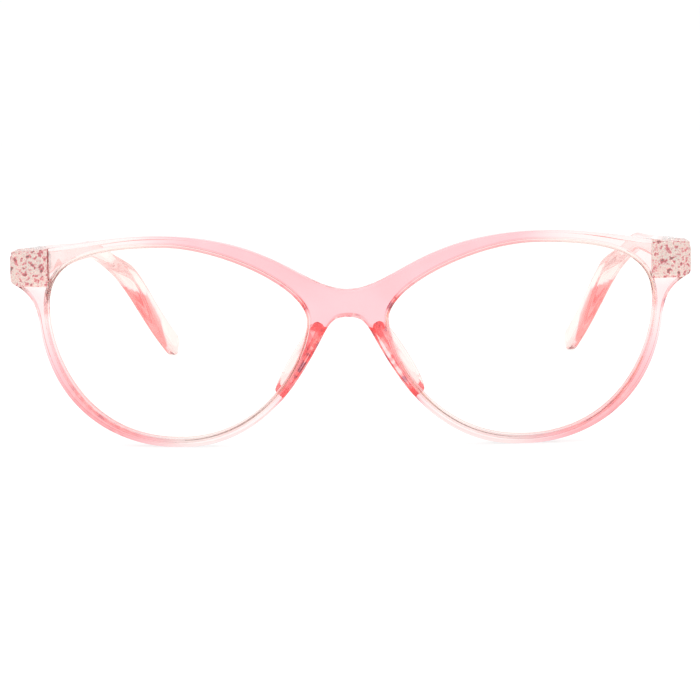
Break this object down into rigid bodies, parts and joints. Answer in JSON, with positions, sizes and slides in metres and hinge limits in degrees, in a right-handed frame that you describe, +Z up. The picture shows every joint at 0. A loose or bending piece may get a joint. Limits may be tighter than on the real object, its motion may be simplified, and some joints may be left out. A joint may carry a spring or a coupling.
{
  "type": "blue light glasses",
  "caption": "Round cat-eye computer glasses with a clear blush plastic front, nearly clear lenses, saddle nose pads and folding temples on sprung hinges.",
  "frame": {"origin": "under the middle of the glasses, on the surface that the two rims and the temple tips stand on", "axes": "+Z up, +X towards the wearer's left, +Y from the front back along the temples; the front faces -Y"},
  "size_m": [0.139, 0.1454, 0.0432],
  "materials": {
    "blush_plastic": "clear blush pink, polished",
    "lens_plastic": "nearly clear plastic lens with a faint warm tint",
    "steel": "satin",
    "screw_steel": "darker satin"
  },
  "bodies": {
    "front": {"front_frame": "blush_plastic", "lens_left": "lens_plastic", "nose_pad_left": "blush_plastic", "hinge_front_leaf_left": "steel", "hinge_screw_left": "screw_steel", "lens_right": "lens_plastic", "nose_pad_right": "blush_plastic", "hinge_front_leaf_right": "steel", "hinge_screw_right": "screw_steel"},
    "left_slide": {"hinge_slider_left": "steel", "guide_rod_left": "screw_steel"},
    "left_temple": {"hinge_spring_left": "screw_steel", "spring_housing_left": "steel", "housing_plug_left": "steel", "temple_left": "blush_plastic"},
    "right_slide": {"hinge_slider_right": "steel", "guide_rod_right": "screw_steel"},
    "right_temple": {"hinge_spring_right": "screw_steel", "spring_housing_right": "steel", "housing_plug_right": "steel", "temple_right": "blush_plastic"}
  },
  "joints": [
    {"name": "left_fold", "type": "hinge", "parent": "front", "child": "left_slide", "pos_m": [0.064, -0.05671, 0.03685], "axis": [0, 0.0419, 0.9991], "range_deg": [0, 88]},
    {"name": "left_flex", "type": "slide", "parent": "left_slide", "child": "left_temple", "axis": [0, 0.9991, -0.0419], "range_m": [0, 0.0012], "stiffness_N_per_m": 2000, "springref_m": -0.0005, "deforming": ["hinge_spring_left"]},
    {"name": "right_fold", "type": "hinge", "parent": "front", "child": "right_slide", "pos_m": [-0.064, -0.05671, 0.03685], "axis": [0, -0.0419, -0.9991], "range_deg": [0, 80]},
    {"name": "right_flex", "type": "slide", "parent": "right_slide", "child": "right_temple", "axis": [0, 0.9991, -0.0419], "range_m": [0, 0.0012], "stiffness_N_per_m": 2000, "springref_m": -0.0005, "deforming": ["hinge_spring_right"]}
  ]
}
